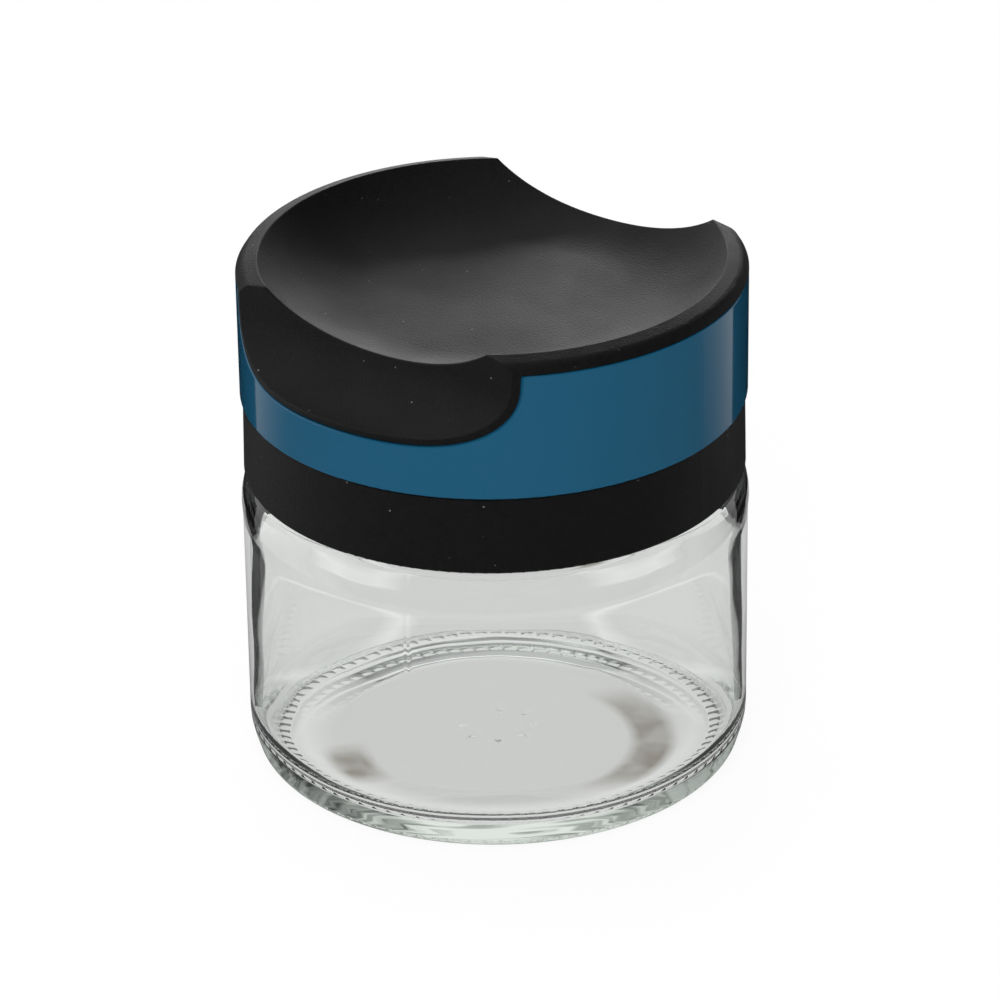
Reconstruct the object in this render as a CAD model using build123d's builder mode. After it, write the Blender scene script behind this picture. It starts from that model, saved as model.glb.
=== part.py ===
from build123d import *
from math import radians, sqrt, tan
import os

# Spice jar: a glass jar with a screw lid. Lengths are millimetres, +Z is up, the jar stands on
# Z = 0 and its axis is the Z axis. The lid's two finger grooves face -Y and +Y. Sizes are chained:
# radii from the neck outwards, heights from the foot upwards, so each piece follows what it fits.

# Glass jar
neck_radius = 31.6
neck_wall = 2.9
neck_height = 12.25
shoulder_width = 3.55
shoulder_height = 42.35
shoulder_edge = 1.2
shoulder_inset = 0.85
bulge_height = 6.3
bulge_proud = 0.3
bulge_rise_share = 0.3
bulge_round = 7.5
glass_wall = 2.8
glass_floor = 2.2
floor_round = 3.8
floor_dome = 0.8
heel_height = 4.0
heel_inset = 1.2
heel_round = 8.0
foot_round = 1.4
punt_radius = 29.0
punt_slope = 7.5
punt_depth = 1.2
punt_round = 10.0
foot_edge = 0.6
inner_shoulder_drop = 3.8
inner_shoulder_rise = 2.2
inner_shoulder_round = 4.0
lip_round_share = 0.4
neck_root_round = 0.6

# Screw fit between neck and cap
thread_depth = 1.2
thread_clearance = 0.2
neck_clearance = 0.3
skirt_gap = 0.3

# Seal ring
seal_thickness = 1.5
seal_inset = 0.2
seal_clearance = 0.2
seal_edge = 0.3

# Screw cap: the collar that shows below the band, the deck that closes the jar, the spigot on it
collar_wall = 1.6
collar_flare = 0.2
collar_edge = 0.35
deck_thickness = 1.8
band_seat_drop = 4.0
seal_lip_width = 1.0
seal_lip_depth = 0.8
spigot_wall = 1.6
spigot_height = 5.6
spigot_clearance = 0.15
spigot_edge = 0.4
snap_radius = 0.3
snap_clearance = 0.15
snap_height = 1.7

# Colour band
band_wall = 1.6
band_proud = 0.4
band_clearance = 0.2
band_edge = 0.25
window_round = 0.4

# Top shell, its dish and its finger grooves
shell_wall = 1.6
rim_gap = 0.2
rim_height = 1.85
rim_width = 3.0
rim_drop = 0.6
rim_inset = 0.8
rim_round = 1.5
dish_depth = 6.65
dish_round = 17.5
groove_radius = 7.8
groove_depth = 11.7
groove_reach = 8.4
groove_draft = 3.0
groove_land = 0.75
groove_gap = 0.37
groove_room = 2.6
edge_round = 0.2

overrun = 2.0

# Radii, from the neck outwards
body_radius = neck_radius + shoulder_width
mouth_radius = neck_radius - neck_wall
inside_radius = body_radius - glass_wall
thread_bore = neck_radius + thread_depth + thread_clearance
seal_bore = neck_radius + neck_clearance
collar_radius = thread_bore + collar_wall
band_radius = collar_radius + band_proud
band_bore = band_radius - band_wall
drum_radius = band_bore - band_clearance
skirt_bore = drum_radius - shell_wall
spigot_radius = skirt_bore - spigot_clearance
dish_radius = band_radius - rim_width
seal_outer = seal_bore - seal_clearance
seal_inner = mouth_radius + seal_inset

# Heights, from the foot upwards
lip_z = shoulder_height + neck_height
deck_bottom = lip_z + seal_thickness
deck_top = deck_bottom + deck_thickness
collar_bottom = shoulder_height + skirt_gap
band_seat = deck_top - band_seat_drop
groove_floor = deck_top + groove_room + shell_wall
groove_z = groove_floor + groove_radius
rim_top = groove_floor + groove_depth
rim_bottom = rim_top - rim_height
band_top = rim_bottom - rim_gap
dish_floor = rim_top - dish_depth

# Places across the lid
groove_y = band_radius - groove_reach + groove_radius
dish_flat = dish_radius - sqrt(dish_round**2 - (dish_round - dish_depth) ** 2)

os.makedirs("parts", exist_ok=True)


def grooves(radius):
    """Both finger grooves as solid tools: a round trough along X with a drafted back wall, open upwards
    and outwards. A larger radius about the same axis gives the wall, the land or the gap round it."""
    reach = band_radius + overrun
    top = rim_top + overrun
    with BuildPart() as tool:
        with BuildSketch(Plane.YZ):
            with BuildLine():
                trough = CenterArc((groove_y, groove_z), radius, 180 + groove_draft, 90 - groove_draft)
                wall_foot = trough @ 0
                wall_top = (wall_foot.X - (top - wall_foot.Y) * tan(radians(groove_draft)), top)
                Polyline(trough @ 1, (reach, groove_z - radius), (reach, top), wall_top, wall_foot)
            make_face()
        extrude(amount=reach, both=True)
        mirror(about=Plane.XZ)
    return tool.part


def dish_section(drop, radius, end_z):
    """Section between the dish's surface, lowered by a wall, and a height above or below it."""
    arc_radius = dish_round + drop
    arc_z = dish_floor + dish_round
    edge = (radius, arc_z - sqrt(arc_radius**2 - (radius - dish_flat) ** 2))
    floor = arc_z - arc_radius
    with BuildSketch(Plane.XZ) as section:
        with BuildLine():
            Line((0, floor), (dish_flat, floor))
            RadiusArc((dish_flat, floor), edge, -arc_radius)
            Polyline(edge, (radius, end_z), (0, end_z), (0, floor))
        make_face()
    return section.sketch


groove_cut = grooves(groove_radius)
groove_wall = grooves(groove_radius + shell_wall)
groove_clear = grooves(groove_radius + shell_wall + skirt_gap)
groove_ear = grooves(groove_radius + groove_land)
groove_window = grooves(groove_radius + groove_land + groove_gap)


# Glass jar: body, bulged shoulder and neck turned in one piece. The heel tapers to the foot's flat ring, and
# the base inside that ring is pushed up, with the floor above it.
bulge_low = shoulder_height - bulge_height
punt_flat = punt_radius - punt_slope
glass_outline = [
    ((body_radius - heel_inset, 0), foot_round),
    ((body_radius, heel_height), heel_round),
    ((body_radius, bulge_low), 0),
    ((body_radius + bulge_proud, bulge_low + bulge_rise_share * bulge_height), bulge_round),
    ((body_radius - shoulder_inset, shoulder_height), shoulder_edge),
    ((neck_radius, shoulder_height), neck_root_round),
    ((neck_radius, lip_z), lip_round_share * neck_wall),
    ((mouth_radius, lip_z), lip_round_share * neck_wall),
    ((mouth_radius, shoulder_height + inner_shoulder_rise), inner_shoulder_round),
    ((inside_radius, shoulder_height - inner_shoulder_drop), inner_shoulder_round),
    ((inside_radius, glass_floor), floor_round),
    ((punt_flat, glass_floor + floor_dome), punt_round),
    ((0, glass_floor + floor_dome), 0),
    ((0, punt_depth), 0),
    ((punt_flat, punt_depth), punt_round),
    ((punt_radius, 0), foot_edge),
]
with BuildPart() as glass_jar:
    with BuildSketch(Plane.XZ):
        with BuildLine():
            FilletPolyline(
                *[point for point, corner in glass_outline],
                radius=[corner for point, corner in glass_outline],
                close=True,
            )
        make_face()
    revolve(axis=Axis.Z)
glass_jar.part.label = "glass_jar"
export_step(glass_jar.part, "parts/glass_jar.step")


# Seal ring: a flat ring between the jar's lip and the cap's deck
with BuildPart() as seal_ring:
    with BuildSketch(Plane.XY.offset(lip_z)):
        Circle(seal_outer)
        Circle(seal_inner, mode=Mode.SUBTRACT)
    extrude(amount=seal_thickness)
    fillet(seal_ring.edges(), radius=seal_edge)
seal_ring.part.label = "seal_ring"
export_step(seal_ring.part, "parts/seal_ring.step")


# Screw cap: a collar with the thread bore, a closing deck with the seal's groove, and a notched spigot
bore_step = band_seat - collar_wall
seal_lip_outer = seal_inner - seal_clearance
cap_outline = [
    ((0, deck_bottom), 0),
    ((seal_lip_outer - seal_lip_width, deck_bottom), 0),
    ((seal_lip_outer - seal_lip_width, deck_bottom - seal_lip_depth), seal_edge),
    ((seal_lip_outer, deck_bottom - seal_lip_depth), seal_edge),
    ((seal_lip_outer, deck_bottom), 0),
    ((seal_bore, deck_bottom), 0),
    ((seal_bore, bore_step), 0),
    ((thread_bore, bore_step - thread_depth), 0),
    ((thread_bore, collar_bottom), collar_edge),
    ((collar_radius + collar_flare, collar_bottom), collar_edge),
    ((collar_radius, band_seat), collar_edge),
    ((drum_radius, band_seat), 0),
    ((drum_radius, deck_top), 0),
    ((spigot_radius, deck_top), 0),
    ((spigot_radius, deck_top + spigot_height), spigot_edge),
    ((spigot_radius - spigot_wall, deck_top + spigot_height), spigot_edge),
    ((spigot_radius - spigot_wall, deck_top), 0),
    ((0, deck_top), 0),
]
with BuildPart() as screw_cap:
    with BuildSketch(Plane.XZ):
        with BuildLine():
            FilletPolyline(
                *[point for point, corner in cap_outline],
                radius=[corner for point, corner in cap_outline],
                close=True,
            )
        make_face()
    revolve(axis=Axis.Z)
    with BuildSketch(Plane.XZ):
        with Locations((spigot_radius, deck_top + snap_height)):
            Circle(snap_radius)
    revolve(axis=Axis.Z)
    add(groove_clear, mode=Mode.SUBTRACT)
screw_cap.part.label = "screw_cap"
export_step(screw_cap.part, "parts/screw_cap.step")


# Colour band: a plain ring with two windows, open at its top edge, for the finger grooves
with BuildPart() as colour_band:
    with BuildSketch(Plane.XY.offset(band_seat)):
        Circle(band_radius)
        Circle(band_bore, mode=Mode.SUBTRACT)
    extrude(amount=band_top - band_seat)
    add(groove_window, mode=Mode.SUBTRACT)
    window_corners = colour_band.edges().filter_by(Axis.X).group_by(Axis.Z)[-1]
    fillet(window_corners, radius=window_round)
    outside = colour_band.faces().filter_by(GeomType.CYLINDER).sort_by(SortBy.AREA)[-1]
    fillet(outside.edges(), radius=band_edge)
colour_band.part.label = "colour_band"
export_step(colour_band.part, "parts/colour_band.step")


# Top shell: rim, dish and finger grooves in one hollow moulding, with lands that fill the band's windows
shell_outline = [
    ((0, deck_top), 0),
    ((drum_radius, deck_top), 0),
    ((drum_radius, rim_bottom), 0),
    ((band_radius, rim_bottom), 0),
    ((band_radius - rim_inset, rim_top - rim_drop), rim_round),
    ((dish_radius, rim_top), 0),
    ((0, rim_top), 0),
]
with BuildPart() as lands:
    with BuildSketch(Plane.XY.offset(deck_top)):
        Circle(band_radius)
    extrude(amount=rim_bottom - deck_top)
    add(groove_ear, mode=Mode.INTERSECT)

with BuildPart() as hollow:
    with BuildSketch(Plane.XZ):
        add(dish_section(shell_wall, skirt_bore, deck_top))
        with Locations((spigot_radius, deck_top + snap_height)):
            Circle(snap_radius + snap_clearance)
    revolve(axis=Axis.Z)
    add(groove_wall, mode=Mode.SUBTRACT)

with BuildPart() as top_shell:
    with BuildSketch(Plane.XZ):
        with BuildLine():
            FilletPolyline(
                *[point for point, corner in shell_outline],
                radius=[corner for point, corner in shell_outline],
                close=True,
            )
        make_face()
    revolve(axis=Axis.Z)
    add(lands.part)
    add(hollow.part, mode=Mode.SUBTRACT)
    with BuildSketch(Plane.XZ):
        add(dish_section(0, dish_radius, rim_top + overrun))
    revolve(axis=Axis.Z, mode=Mode.SUBTRACT)
    add(groove_cut, mode=Mode.SUBTRACT)
    groove_edges = top_shell.edges(Select.NEW).filter_by(Axis.X, reverse=True)
    dish_edge = top_shell.edges().filter_by(GeomType.CIRCLE).group_by(Axis.Z)[-1]
    fillet(groove_edges + dish_edge, radius=edge_round)
top_shell.part.label = "top_shell"
export_step(top_shell.part, "parts/top_shell.step")
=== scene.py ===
from math import ceil, cos, degrees, pi, radians, sin, tan

import bpy
from mathutils import Matrix, Vector, noise


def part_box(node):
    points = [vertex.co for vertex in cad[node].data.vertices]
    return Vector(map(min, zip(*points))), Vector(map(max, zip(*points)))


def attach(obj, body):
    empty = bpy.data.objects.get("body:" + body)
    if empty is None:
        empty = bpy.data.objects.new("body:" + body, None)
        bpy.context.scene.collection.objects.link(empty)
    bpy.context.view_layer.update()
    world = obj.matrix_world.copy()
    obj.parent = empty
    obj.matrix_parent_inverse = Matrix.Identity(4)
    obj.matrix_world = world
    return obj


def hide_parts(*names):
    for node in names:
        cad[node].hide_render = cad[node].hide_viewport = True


# Spice jar, in metres and degrees. The jar stands on Z = 0 on its axis, and the lid's finger
# grooves face -Y and +Y. The glass and the cap's thread are meshes made here; the other pieces
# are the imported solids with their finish. The glass has the outside of its solid, and a wall that
# grows thicker from the floor to the shoulder.
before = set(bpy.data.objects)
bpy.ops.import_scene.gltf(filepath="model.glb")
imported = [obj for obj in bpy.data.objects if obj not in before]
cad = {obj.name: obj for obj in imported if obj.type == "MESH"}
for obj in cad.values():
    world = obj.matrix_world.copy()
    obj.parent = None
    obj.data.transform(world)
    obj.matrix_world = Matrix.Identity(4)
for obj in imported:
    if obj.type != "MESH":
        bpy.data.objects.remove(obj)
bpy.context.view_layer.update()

# Camera, as it stood for the photograph
aim_height = 0.03589
aim_right = 0.00063
camera_distance = 0.73465
camera_azimuth = 36.8
camera_elevation = 27.26
camera_roll = -0.80
sensor_width = 36
lens = 189.8
near_clip = 0.01
far_clip = 20

# Glass jar
neck_radius = 0.0316
neck_wall = 0.0029
shoulder_width = 0.00355
shoulder_height = 0.04235
shoulder_edge = 0.0012
shoulder_inset = 0.00085
bulge_height = 0.0063
bulge_proud = 0.00028
bulge_rise_share = 0.3
bulge_round = 0.0075
crease_round = 0.0008
glass_wall = 0.0015
shoulder_wall = 0.0037
glass_floor = 0.0022
floor_round = 0.0042
floor_dome = 0.0008
heel_height = 0.004
heel_inset = 0.0012
heel_round = 0.008
foot_round = 0.0014
punt_radius = 0.029
punt_slope = 0.0075
punt_depth = 0.0012
punt_round = 0.010
foot_edge = 0.0006
inner_shoulder_drop = 0.0063
inner_shoulder_rise = 0.0022
inner_shoulder_round = 0.006
neck_root_round = 0.0006
lip_round_share = 0.4
lip_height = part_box("glass_jar")[1][2]

# How finely the glass is divided
jar_columns = 528
row_step = 0.0022
fine_row_step = 0.00036
arc_step = 9

# Marks that the mould leaves in the glass
seam_angle = -73.5
seam_proud = 0.00001
seam_half_width = 0.00025
knurls = 88
knurl_depth = 0.00035
knurl_radius = 0.0302
knurl_half_length = 0.0010
knurl_fade_share = 0.5
dot_ring = 0.0049
dot_radius = 0.0008
dot_height = 0.00015
dot_places = 8
dots = 7
first_dot = 215
ripple_size = 0.02
ripple_depth = 0.00015

# Screw thread: a ridge on the neck, and its counterpart in the cap half a turn's lift below it
thread_lead = 0.005
thread_depth = 0.0012
thread_half_width = 0.00105
thread_crest_half_width = 0.0004
thread_low = 0.0443
thread_turns = 1.14
thread_fade = 0.12
cap_thread_lag = 0.5
cap_bore = 0.033
cap_thread_depth = 0.00105
cap_thread_root = 0.0002
cap_thread_start = 0.45
cap_thread_turns = 1.19
cap_thread_steps = 220

# Finishes: linear colours, lengths in metres. Low and high are the ends that a finish varies between,
# and a range is the stretch of its noise that takes it from one to the other.
black_low = (0.0018, 0.0018, 0.0019, 1)
black_high = (0.0065, 0.0065, 0.0067, 1)
black_rough_low = 0.56
black_rough_high = 0.7
uneven_range = (0.6, 1.4)
noise_detail = 2
grain_size = 0.0003
grain_depth = 0.00009
grain_range = (0.3, 0.7)
cloud_size = 0.009
dust_colour = (0.16, 0.16, 0.155, 1)
dust_spacing = 0.0013
dust_size = 0.00013
speck_rarity = 5
blue_low = (0.008, 0.079, 0.148, 1)
blue_high = (0.01, 0.084, 0.157, 1)
blue_rough_low = 0.05
blue_rough_high = 0.12
blue_dust_spacing = 0.006
blue_dust_size = 0.00018
wave_size = 0.012
wave_depth = 0.00001
hair_size = 0.0009
hair_scale = (1, 1, 0.08)
glass_index = 1.5
glass_low = (0.955, 0.96, 0.955, 1)
glass_high = (0.97, 0.975, 0.97, 1)
glass_green = (0.35, 0.7, 0.5, 1)
glass_density = 4
# Painted glow where light has turned many times inside the glass, streaked and darker towards the two sides
painted_glass_glow = (0.95, 0.98, 0.94, 1)
glass_turns = 3.5
streak_size = 0.0007
streak_low = 0.02
streak_high = 0.44
streak_side = 0.01
streak_edges = (0.008, 0.024)
streak_range = (0.86, 1.04)
flow_size = 0.014
flow_depth = 0.00003
seal_low = (0.62, 0.62, 0.6, 1)
seal_high = (0.68, 0.68, 0.66, 1)
seal_rough_low = 0.4
seal_rough_high = 0.55

# Directions round the object, turned to the right from straight behind it
behind = 0
right_hand = 90

# Floor: its size, and what the camera, gloss and glass see of it; gloss and glass see it with painted
# reflection, painted shade and painted gleams
floor_size = 6
floor_glow_share = 0.92
white = (1, 1, 1, 1)
painted_reflection_black = (0.006, 0.006, 0.006, 1)
table_front = 0.04
table_back = 0.8
table_range = (0.01, 0.12)
# What glass shows of the table: a plain grey, with painted gleams and painted brown shade
through_plain = (0.74, 0.74, 0.735, 1)
painted_gleam_bright = (0.93, 0.93, 0.93, 1)
painted_shade_brown = (0.3, 0.27, 0.23, 1)
# Painted brown shade under the edge of the base, on the table as glass shows it
shade_radius = 0.0213
shade_width = 0.0035
shade_deep = -0.003
shade_core_share = 0.5
shade_patch = 0.007
shade_patch_range = (0.4, 0.6)
shade_patch_low = 0.6
# Painted gleams: two behind the jar for light the glass throws, and one round the foot
gleam_side = 0.039
gleam_back = 0.040
gleam_radius = 0.0245
gleam_width = 0.003
foot_gleam_radius = 0.027
foot_gleam_width = 0.0045
# Each spot of painted shade: how far right, how far back, and its reach
shade_spots = [
    (0.0205, -0.004, 0.018),
    (-0.0195, -0.0105, 0.007),
]

# Backdrop: brightest low behind the object on the left
backdrop_dark = 0.05
backdrop_glow = 0.58
backdrop_turn = -35
backdrop_range = (0.1, 0.45)
backdrop_right_share = 0.3
backdrop_right_range = (0.02, 0.28)
backdrop_low_share = 2
backdrop_low_rise = 0.4

# Lamps: name, turn, elevation, distance, size, power, shown in gloss, shown through glass
lamps = [
    ("overhead", 180, 63, 1.2, (0.6, 0.12), 0.5, True, True),
    ("back_glow", 5, 17, 1.2, (0.6, 0.3), 3.8, True, False),
    ("fill", 187, 40, 1.2, (0.9, 0.6), 10, False, False),
    ("top_fill", 0, 85, 1.3, (1, 1), 8, False, False),
]

# Dark cards at both sides, seen only in gloss and through glass as painted dark reflections: name, how far
# behind the axis, corners as (outward, height)
cards = [
    ("glass_card", 0.008, [(0.0425, 0), (0.0505, 0), (0.0535, 0.034), (0.0425, 0.034)]),
    ("lid_card", 0.022, [(0.037, 0.03), (0.066, 0.018), (0.066, 0.078), (0.037, 0.078)]),
]
card_sides = [("left", -1), ("right", 1)]

# Radii of the glass
body_radius = neck_radius + shoulder_width
mouth_radius = neck_radius - neck_wall
inside_radius = body_radius - glass_wall
punt_flat = punt_radius - punt_slope


def link(obj):
    bpy.context.scene.collection.objects.link(obj)
    return obj


def level_line(turn):
    """The level direction at an angle to the right of straight behind."""
    azimuth = radians(camera_azimuth - turn)
    return Vector((-sin(azimuth), cos(azimuth), 0))


def make_camera():
    data = bpy.data.cameras.new("camera")
    data.sensor_width = sensor_width
    data.lens = lens
    data.clip_start = near_clip
    data.clip_end = far_clip
    camera = link(bpy.data.objects.new("camera", data))
    azimuth = radians(camera_azimuth)
    elevation = radians(camera_elevation)
    back = Vector((sin(azimuth) * cos(elevation), -cos(azimuth) * cos(elevation), sin(elevation)))
    turn = (-back).to_track_quat("-Z", "Y").to_matrix().to_4x4()
    place = Vector((0, 0, aim_height)) + level_line(right_hand) * aim_right + back * camera_distance
    camera.matrix_world = Matrix.Translation(place) @ turn @ Matrix.Rotation(radians(camera_roll), 4, "Z")
    bpy.context.scene.camera = camera


def run(points, end, step):
    """Add points on a straight line up to end, no further apart than step."""
    start = points[-1]
    count = ceil((end - start).length / step)
    for place in range(1, count + 1):
        points.append(start.lerp(end, place / count))


def rounded(corners):
    """Points along a line of (radius, height, rounding, step before it) corners."""
    points = [Vector(corners[0][:2])]
    for before, corner, after in zip(corners, corners[1:], corners[2:]):
        here = Vector(corner[:2])
        inward = (here - Vector(before[:2])).normalized()
        onward = (Vector(after[:2]) - here).normalized()
        bend = inward.angle(onward, 0)
        start = here - inward * corner[2] * tan(bend / 2)
        end = here + onward * corner[2] * tan(bend / 2)
        run(points, start, corner[3])
        if corner[2] and bend:
            centre = here + (onward - inward).normalized() * corner[2] / cos(bend / 2)
            count = ceil(degrees(bend) / arc_step)
            for place in range(1, count + 1):
                turned = bend * place / count
                spoke = (start - centre) * sin(bend - turned) + (end - centre) * sin(turned)
                points.append(centre + spoke / sin(bend))
    run(points, Vector(corners[-1][:2]), corners[-1][3])
    return points


def jar_outline():
    """Half section of the glass, from the middle of its underside round to the middle of its floor."""
    lip_round = lip_round_share * neck_wall
    bulge_low = shoulder_height - bulge_height
    inner_low = shoulder_height - inner_shoulder_drop
    return rounded([
        (0, punt_depth, 0, row_step),
        (dot_ring - dot_radius, punt_depth, 0, row_step),
        (dot_ring + dot_radius, punt_depth, 0, fine_row_step),
        (punt_flat, punt_depth, punt_round, row_step),
        (punt_radius, 0, foot_edge, row_step),
        (knurl_radius - knurl_half_length, 0, 0, row_step),
        (knurl_radius + knurl_half_length, 0, 0, fine_row_step),
        (body_radius - heel_inset, 0, foot_round, row_step),
        (body_radius, heel_height, heel_round, row_step),
        (body_radius, bulge_low, crease_round, row_step),
        (body_radius + bulge_proud, bulge_low + bulge_rise_share * bulge_height, bulge_round, row_step),
        (body_radius - shoulder_inset, shoulder_height, shoulder_edge, row_step),
        (neck_radius, shoulder_height, neck_root_round, row_step),
        (neck_radius, lip_height, lip_round, fine_row_step),
        (mouth_radius, lip_height, lip_round, row_step),
        (mouth_radius, shoulder_height + inner_shoulder_rise, inner_shoulder_round, row_step),
        (body_radius - shoulder_wall, inner_low, inner_shoulder_round, row_step),
        (inside_radius, glass_floor, floor_round, row_step),
        (punt_flat, glass_floor + floor_dome, punt_round, row_step),
        (0, glass_floor + floor_dome, 0, row_step),
    ])


def jar_angles():
    """Angles of the columns: even all round, with three close together on each mould seam."""
    beside = seam_half_width / body_radius
    angles = [2 * pi * column / jar_columns for column in range(jar_columns)]
    for seam in (radians(seam_angle) % (2 * pi), (radians(seam_angle) + pi) % (2 * pi)):
        angles = [angle for angle in angles if abs(angle - seam) > 2 * beside]
        angles += [seam - beside, seam, seam + beside]
    return sorted(angles)


def smooth(share):
    """Ease from 0 to 1 as share goes from 0 to 1."""
    share = min(max(share, 0), 1)
    return share * share * (3 - 2 * share)


def thread_proud(angle, height):
    """How far the neck's thread stands out at an angle and a height."""
    proud = 0
    for lap in range(ceil(thread_turns)):
        turns = angle / (2 * pi) + lap
        fade = smooth(min(turns, thread_turns - turns) / thread_fade)
        beside = abs(height - thread_low - thread_lead * turns)
        ridge = smooth((thread_half_width - beside) / (thread_half_width - thread_crest_half_width))
        proud = max(proud, thread_depth * ridge * fade)
    return proud


def on_seam(angle):
    """Whether a column of points is the middle one of a mould seam."""
    turned = (angle - radians(seam_angle)) % pi
    return min(turned, pi - turned) < seam_half_width / body_radius / 2


def knurl(radius, angle):
    """Depth of the notches in the ring that the jar stands on."""
    fade = knurl_fade_share * knurl_half_length
    across = smooth((knurl_half_length - abs(radius - knurl_radius)) / fade)
    return knurl_depth * across * smooth((1 + cos(knurls * angle)) / 2)


def dot(radius, angle):
    """Height of the small domes round the middle of the underside."""
    spot = Vector((radius * cos(angle), radius * sin(angle)))
    height = 0
    for place in range(dots):
        turned = radians(first_dot + 360 * place / dot_places)
        away = (spot - dot_ring * Vector((cos(turned), sin(turned)))).length
        height = max(height, dot_height * smooth(1 - away / dot_radius))
    return height


def ripple(radius, angle, height):
    """Slight waves in a pressed surface."""
    spot = Vector((radius * cos(angle), radius * sin(angle), height)) / ripple_size
    return ripple_depth * noise.noise(spot)


def jar_point(point, angle, outside):
    """Where a point of the outline lies at an angle, with the marks that break the round form."""
    radius, height = point
    if not outside:
        wave = ripple(radius, angle, height)
        radius -= abs(wave) if radius > inside_radius - floor_round else 0
        height += wave if height < glass_floor + floor_round else 0
    elif height > shoulder_height + neck_root_round:
        radius += thread_proud(angle, height) if height < lip_height - neck_wall else 0
    elif radius < dot_ring + dot_radius:
        height -= dot(radius, angle)
    elif radius < body_radius - heel_inset:
        height += knurl(radius, angle)
    elif on_seam(angle) and height > heel_height:
        radius += seam_proud if radius < body_radius + bulge_proud - seam_proud else 0
    return radius * cos(angle), radius * sin(angle), height


def mesh_piece(name, points, faces, body):
    """A smooth-shaded mesh that rides on a body."""
    mesh = bpy.data.meshes.new(name)
    mesh.from_pydata(points, [], faces)
    mesh.shade_smooth()
    piece = link(bpy.data.objects.new(name, mesh))
    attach(piece, body)
    return piece


def make_jar():
    """The glass: its outline carried round the axis, closed by a fan at each end."""
    outline = jar_outline()
    angles = jar_angles()
    top = max(range(len(outline)), key=lambda row: outline[row].y)
    points = [(0, 0, outline[0].y)]
    for row, point in enumerate(outline[1:-1], start=1):
        points += [jar_point(point, angle, row <= top) for angle in angles]
    points.append((0, 0, outline[-1].y))
    columns = len(angles)
    rows = len(outline) - 2
    faces = []
    for column in range(columns):
        after = (column + 1) % columns
        faces.append((0, 1 + after, 1 + column))
        for row in range(rows - 1):
            low = 1 + row * columns
            high = low + columns
            faces.append((low + column, low + after, high + after, high + column))
        last = 1 + (rows - 1) * columns
        faces.append((len(points) - 1, last + column, last + after))
    return mesh_piece("jar_glass", points, faces, "jar")


def make_cap_thread():
    """The cap's ridge: a tapered section carried up a helix, its root let into the bore."""
    section = [
        (cap_bore + cap_thread_root, -thread_half_width),
        (cap_bore, -thread_half_width),
        (cap_bore - cap_thread_depth, -thread_crest_half_width),
        (cap_bore - cap_thread_depth, thread_crest_half_width),
        (cap_bore, thread_half_width),
        (cap_bore + cap_thread_root, thread_half_width),
    ]
    size = len(section)
    points = []
    for step in range(cap_thread_steps + 1):
        along = cap_thread_turns * step / cap_thread_steps
        fade = smooth(min(along, cap_thread_turns - along) / thread_fade)
        turns = cap_thread_start + along
        middle = thread_low + thread_lead * (turns - cap_thread_lag)
        for radius, beside in section:
            tucked = radius if radius > cap_bore else cap_bore + (radius - cap_bore) * fade
            points.append((tucked * cos(2 * pi * turns), tucked * sin(2 * pi * turns), middle + beside))
    faces = [tuple(range(size)), tuple(reversed(range(len(points) - size, len(points))))]
    for step in range(cap_thread_steps):
        for side in range(size):
            near = step * size + side
            beyond = step * size + (side + 1) % size
            faces.append((near, near + size, beyond + size, beyond))
    return mesh_piece("cap_thread", points, faces, "lid")


def material(name):
    """A new material, with its node tree and its main shader."""
    made = bpy.data.materials.new(name)
    made.use_nodes = True
    return made, made.node_tree, made.node_tree.nodes["Principled BSDF"]


def put(tree, kind, inputs=(), **settings):
    """Add a node; its inputs are values or other nodes' outputs, by name or number."""
    node = tree.nodes.new(kind)
    for key, value in settings.items():
        setattr(node, key, value)
    for key, value in dict(inputs).items():
        if isinstance(value, bpy.types.NodeSocket):
            tree.links.new(value, node.inputs[key])
        else:
            node.inputs[key].default_value = value
    return node


def calculate(tree, operation, first, second=0):
    return put(tree, "ShaderNodeMath", {0: first, 1: second}, operation=operation).outputs[0]


def surface_place(tree):
    return put(tree, "ShaderNodeTexCoord").outputs["Object"]


def speckle(tree, place, spacing, size):
    """Mask of scattered specks: one in each cell, most of them too small to show."""
    cells = put(tree, "ShaderNodeTexVoronoi", {"Vector": place, "Scale": 1 / spacing})
    chance = put(tree, "ShaderNodeSeparateColor", {"Color": cells.outputs["Color"]})
    rare = calculate(tree, "POWER", chance.outputs[0], speck_rarity)
    reach = calculate(tree, "MULTIPLY", rare, size / spacing)
    return calculate(tree, "GREATER_THAN", reach, cells.outputs["Distance"])


def blend_colour(tree, share, low, high):
    """A colour between two; the node's inputs 6 and 7 and output 2 are its colours."""
    mixed = put(tree, "ShaderNodeMix", {0: share, 6: low, 7: high}, data_type="RGBA")
    return mixed.outputs[2]


def ranged(tree, value, low, high, start=0, end=1):
    """Map a value from start..end to low..high, and hold it there."""
    limits = {"From Min": start, "From Max": end, "To Min": low, "To Max": high}
    return put(tree, "ShaderNodeMapRange", {"Value": value, **limits}).outputs[0]


def noise_at(tree, place, size):
    inputs = {"Vector": place, "Scale": 1 / size, "Detail": noise_detail}
    return put(tree, "ShaderNodeTexNoise", inputs).outputs["Fac"]


def bump(tree, shader, height, depth):
    made = put(tree, "ShaderNodeBump", {"Height": height, "Distance": depth, "Strength": 1})
    tree.links.new(made.outputs["Normal"], shader.inputs["Normal"])


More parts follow.
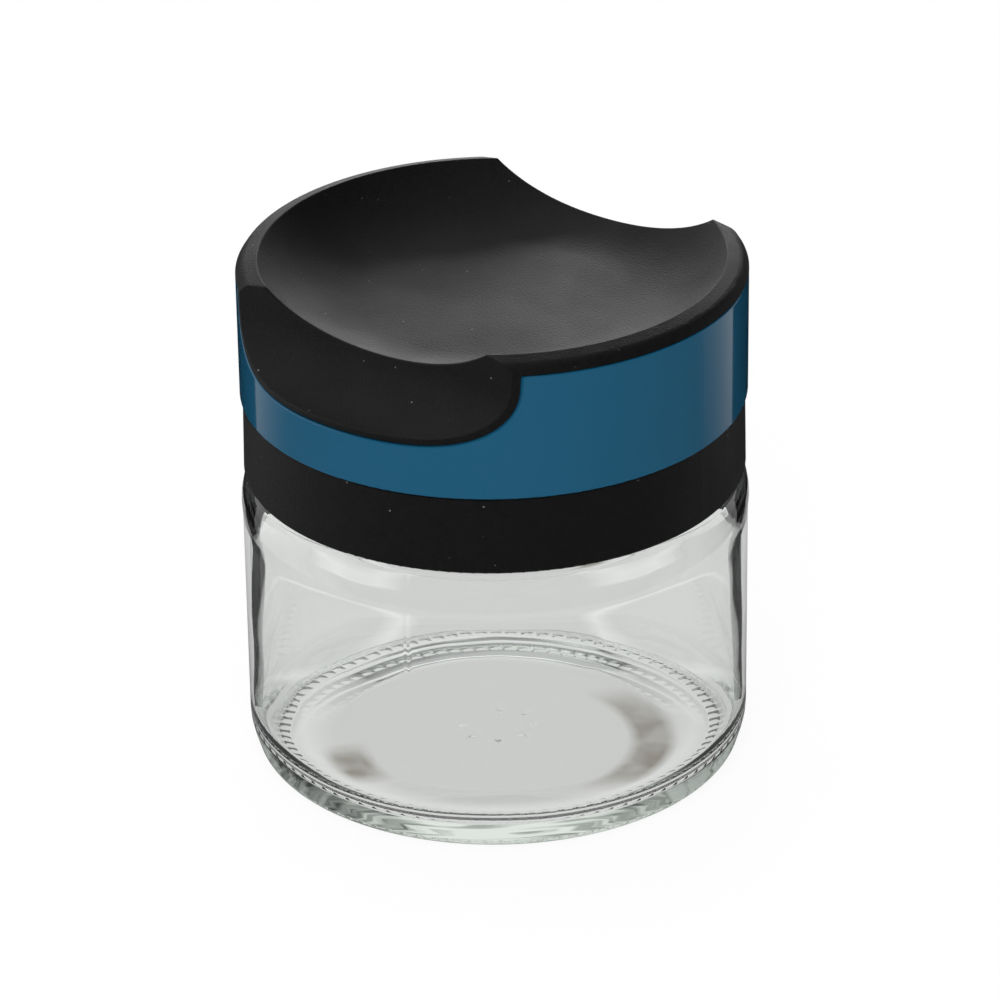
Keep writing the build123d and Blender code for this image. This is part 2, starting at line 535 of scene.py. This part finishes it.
def moulded_black():
    """Matte black plastic with a fine moulded grain, slight unevenness and specks of dust."""
    made, tree, shader = material("moulded_black")
    place = surface_place(tree)
    grain = noise_at(tree, place, grain_size)
    cloud = noise_at(tree, place, cloud_size)
    body = blend_colour(tree, ranged(tree, grain, 0, 1, *grain_range), black_low, black_high)
    dust = speckle(tree, place, dust_spacing, dust_size)
    tree.links.new(blend_colour(tree, dust, body, dust_colour), shader.inputs["Base Color"])
    uneven = calculate(tree, "ADD", grain, cloud)
    rough = ranged(tree, uneven, black_rough_low, black_rough_high, *uneven_range)
    tree.links.new(rough, shader.inputs["Roughness"])
    bump(tree, shader, grain, grain_depth)
    return made


def gloss_blue():
    """Polished blue plastic, faintly wavy, with hairline wear and a little dust."""
    made, tree, shader = material("gloss_blue")
    place = surface_place(tree)
    wave = noise_at(tree, place, wave_size)
    drawn_out = put(tree, "ShaderNodeMapping", {"Vector": place, "Scale": hair_scale}).outputs[0]
    hair = noise_at(tree, drawn_out, hair_size)
    tint = blend_colour(tree, wave, blue_low, blue_high)
    dust = speckle(tree, place, blue_dust_spacing, blue_dust_size)
    tree.links.new(blend_colour(tree, dust, tint, dust_colour), shader.inputs["Base Color"])
    tree.links.new(ranged(tree, hair, blue_rough_low, blue_rough_high), shader.inputs["Roughness"])
    bump(tree, shader, wave, wave_depth)
    return made


def clear_glass():
    """Pressed soda-lime glass: clear, green only where it is seen edge-on. Light that has turned many times
    inside it ends in a painted glow, streaked, with painted shade that darkens it towards the two sides."""
    made, tree, shader = material("clear_glass")
    place = surface_place(tree)
    shader.inputs["Transmission Weight"].default_value = 1
    shader.inputs["IOR"].default_value = glass_index
    shader.inputs["Roughness"].default_value = 0
    flow = noise_at(tree, place, flow_size)
    tree.links.new(blend_colour(tree, flow, glass_low, glass_high), shader.inputs["Base Color"])
    bump(tree, shader, flow, flow_depth)
    deep = calculate(tree, "GREATER_THAN", ray(tree, "Glossy Depth"), glass_turns)
    shader.inputs["Emission Color"].default_value = painted_glass_glow
    parts = put(tree, "ShaderNodeSeparateXYZ", {0: place})
    from_axis = distance(tree, parts.outputs["X"], parts.outputs["Y"])
    section = put(tree, "ShaderNodeCombineXYZ", {0: from_axis, 1: parts.outputs["Z"]}).outputs[0]
    streak = calculate(tree, "ADD", noise_at(tree, section, streak_size), flow)
    side = calculate(tree, "ABSOLUTE", along(tree, place, right_hand))
    high = ranged(tree, side, streak_high, streak_side, *streak_edges)
    glow = calculate(tree, "MULTIPLY", deep, ranged(tree, streak, streak_low, high, *streak_range))
    tree.links.new(glow, shader.inputs["Emission Strength"])
    made.cycles.emission_sampling = "NONE"
    depth = put(tree, "ShaderNodeVolumeAbsorption", {"Color": glass_green, "Density": glass_density})
    tree.links.new(depth.outputs[0], tree.nodes["Material Output"].inputs["Volume"])
    return made


def seal_silicone():
    """Soft matte silicone, pale and slightly clouded."""
    made, tree, shader = material("seal_silicone")
    place = surface_place(tree)
    cloud = noise_at(tree, place, cloud_size)
    tree.links.new(blend_colour(tree, cloud, seal_low, seal_high), shader.inputs["Base Color"])
    tree.links.new(ranged(tree, cloud, seal_rough_low, seal_rough_high), shader.inputs["Roughness"])
    bump(tree, shader, noise_at(tree, place, grain_size), grain_depth)
    return made


def mix_surface(tree, share, first, second):
    """Blend two shaders into the surface of a material."""
    mixed = put(tree, "ShaderNodeMixShader", {0: share, 1: first.outputs[0], 2: second.outputs[0]})
    tree.links.new(mixed.outputs[0], tree.nodes["Material Output"].inputs["Surface"])


def paint(obj, made):
    """Give a piece one material in place of those it has."""
    obj.data.materials.clear()
    obj.data.materials.append(made)


def ray(tree, kind):
    return put(tree, "ShaderNodeLightPath").outputs[kind]


def glance(tree):
    """1 for rays that show the studio in gloss or through glass, and not straight to the camera."""
    return calculate(tree, "MAXIMUM", ray(tree, "Is Glossy Ray"), ray(tree, "Is Transmission Ray"))


def along(tree, place, turn):
    """How far a place or a direction lies along a level line, turned to the right of straight behind."""
    inputs = {0: place, 1: level_line(turn)}
    return put(tree, "ShaderNodeVectorMath", inputs, operation="DOT_PRODUCT").outputs["Value"]


def distance(tree, across, deep, middle=(0, 0)):
    """How far a place on the level lies from a middle."""
    place = put(tree, "ShaderNodeCombineXYZ", {0: across, 1: deep}).outputs[0]
    inputs = {0: place, 1: (*middle, 0)}
    return put(tree, "ShaderNodeVectorMath", inputs, operation="DISTANCE").outputs["Value"]


def near_line(tree, value, middle, width, core=0):
    """1 where a value is within a core of the middle, fading to 0 at a width away from it."""
    away = calculate(tree, "ABSOLUTE", calculate(tree, "SUBTRACT", value, middle))
    return ranged(tree, away, 1, 0, core, width)


def flat_sheet(name, points, made):
    """A flat sheet with one face."""
    mesh = bpy.data.meshes.new(name)
    mesh.from_pydata(points, [], [tuple(range(len(points)))])
    sheet = link(bpy.data.objects.new(name, mesh))
    paint(sheet, made)
    return sheet


def shade_under_base(tree, place, side, deep):
    """Painted brown shade in patches under the edge of the pushed-up base."""
    from_middle = distance(tree, side, deep, (0, shade_deep))
    ring = near_line(tree, from_middle, shade_radius, shade_width, shade_core_share * shade_width)
    patch = 0
    for spot_side, spot_deep, reach in shade_spots:
        away = distance(tree, side, deep, (spot_side, spot_deep))
        patch = calculate(tree, "MAXIMUM", patch, ranged(tree, away, 1, 0, shade_core_share * reach, reach))
    uneven = ranged(tree, noise_at(tree, place, shade_patch), shade_patch_low, 1, *shade_patch_range)
    return calculate(tree, "MULTIPLY", calculate(tree, "MULTIPLY", ring, patch), uneven)


def table_through_glass(tree, place):
    """The table as the glass shows it: painted shade under the base, a painted gleam round the foot, and
    two painted gleams that stand for light the glass throws behind it."""
    side = along(tree, place, right_hand)
    across = calculate(tree, "ABSOLUTE", side)
    deep = along(tree, place, behind)
    from_gleam = distance(tree, across, deep, (gleam_side, gleam_back))
    gleam = near_line(tree, from_gleam, gleam_radius, gleam_width)
    foot = near_line(tree, distance(tree, across, deep), foot_gleam_radius, foot_gleam_width)
    bright = blend_colour(tree, calculate(tree, "MAXIMUM", gleam, foot), through_plain, painted_gleam_bright)
    return blend_colour(tree, shade_under_base(tree, place, side, deep), bright, painted_shade_brown)


def floor_paint():
    """White to the camera, with a part of the shadow that falls on it. Gloss sees a painted reflection of
    it, dark in front of the object and light behind it, and glass sees it with painted gleams and painted
    shade."""
    made, tree, shader = material("floor")
    shader.inputs["Base Color"].default_value = white
    shader.inputs["Specular IOR Level"].default_value = 0
    place = surface_place(tree)
    # Painted reflection: what gloss sees of the floor goes from black in front of the object to white
    # behind it
    level = ranged(tree, along(tree, place, behind), table_front, table_back, *table_range)
    in_gloss = blend_colour(tree, level, painted_reflection_black, white)
    shown = blend_colour(tree, ray(tree, "Is Transmission Ray"), in_gloss, table_through_glass(tree, place))
    colour = blend_colour(tree, ray(tree, "Is Camera Ray"), shown, white)
    glow = put(tree, "ShaderNodeEmission", {"Color": colour})
    seen = calculate(tree, "MAXIMUM", ray(tree, "Is Camera Ray"), glance(tree))
    share = calculate(tree, "MULTIPLY", seen, floor_glow_share)
    mix_surface(tree, share, shader, glow)
    made.cycles.emission_sampling = "NONE"
    return made


def make_floor():
    corner = floor_size / 2
    points = [(-corner, -corner, 0), (corner, -corner, 0), (corner, corner, 0), (-corner, corner, 0)]
    floor = flat_sheet("floor", points, floor_paint())


def make_world():
    """White to the camera. The object mirrors a backdrop that is brightest low behind it on the left, fades
    to the right and is dark on the camera's side."""
    world = bpy.data.worlds.new("world")
    bpy.context.scene.world = world
    world.use_nodes = True
    tree = world.node_tree
    background = tree.nodes["Background"]
    place = put(tree, "ShaderNodeTexCoord").outputs["Generated"]
    rise = put(tree, "ShaderNodeSeparateXYZ", {0: place}).outputs["Z"]
    left = ranged(tree, along(tree, place, backdrop_turn), backdrop_dark, backdrop_glow, *backdrop_range)
    right = ranged(tree, along(tree, place, right_hand), 1, backdrop_right_share, *backdrop_right_range)
    low = ranged(tree, rise, backdrop_low_share, 1, 0, backdrop_low_rise)
    shown = calculate(tree, "MULTIPLY", calculate(tree, "MULTIPLY", left, right), low)
    tree.links.new(ranged(tree, ray(tree, "Is Camera Ray"), shown, 1), background.inputs["Strength"])
    background.inputs["Color"].default_value = white


def around(turn, rise, away):
    """A place at a turn to the right of straight behind, an elevation and a distance from the object."""
    return away * (level_line(turn) * cos(radians(rise)) + Vector((0, 0, sin(radians(rise)))))


def make_lamp(name, place, size, power, in_gloss, in_glass):
    data = bpy.data.lights.new(name, "AREA")
    data.shape = "RECTANGLE"
    data.size, data.size_y = size
    data.energy = power
    lamp = link(bpy.data.objects.new(name, data))
    lamp.location = place
    lamp.rotation_euler = (-place).to_track_quat("-Z", "Y").to_euler()
    lamp.visible_glossy = in_gloss
    lamp.visible_transmission = in_glass


def painted_reflection_card():
    """A painted dark reflection: black where gloss and glass show it, and clear to everything else."""
    made, tree, shader = material("painted_reflection_card")
    clear = put(tree, "ShaderNodeBsdfTransparent")
    dark = put(tree, "ShaderNodeBsdfDiffuse", {"Color": painted_reflection_black})
    mix_surface(tree, glance(tree), clear, dark)
    return made


def make_card(name, side, back, outline, made):
    """A narrow card beside the object, which only gloss and glass show, as a painted dark reflection."""
    outward = level_line(right_hand) * side
    middle = level_line(behind) * back
    points = [tuple(middle + outward * across + Vector((0, 0, height))) for across, height in outline]
    card = flat_sheet(name, points, made)


def make_studio():
    make_floor()
    make_world()
    for name, turn, rise, away, size, power, in_gloss, in_glass in lamps:
        make_lamp(name, around(turn, rise, away), size, power, in_gloss, in_glass)
    made = painted_reflection_card()
    for place, side in card_sides:
        for name, back, outline in cards:
            make_card(f"{name}_{place}", side, back, outline, made)


make_camera()
jar = make_jar()
paint(jar, clear_glass())
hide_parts("glass_jar")
black = moulded_black()
paint(make_cap_thread(), black)
paint(cad["screw_cap"], black)
paint(cad["top_shell"], black)
paint(cad["colour_band"], gloss_blue())
paint(cad["seal_ring"], seal_silicone())
make_studio()
bpy.context.scene.view_settings.view_transform = "Standard"
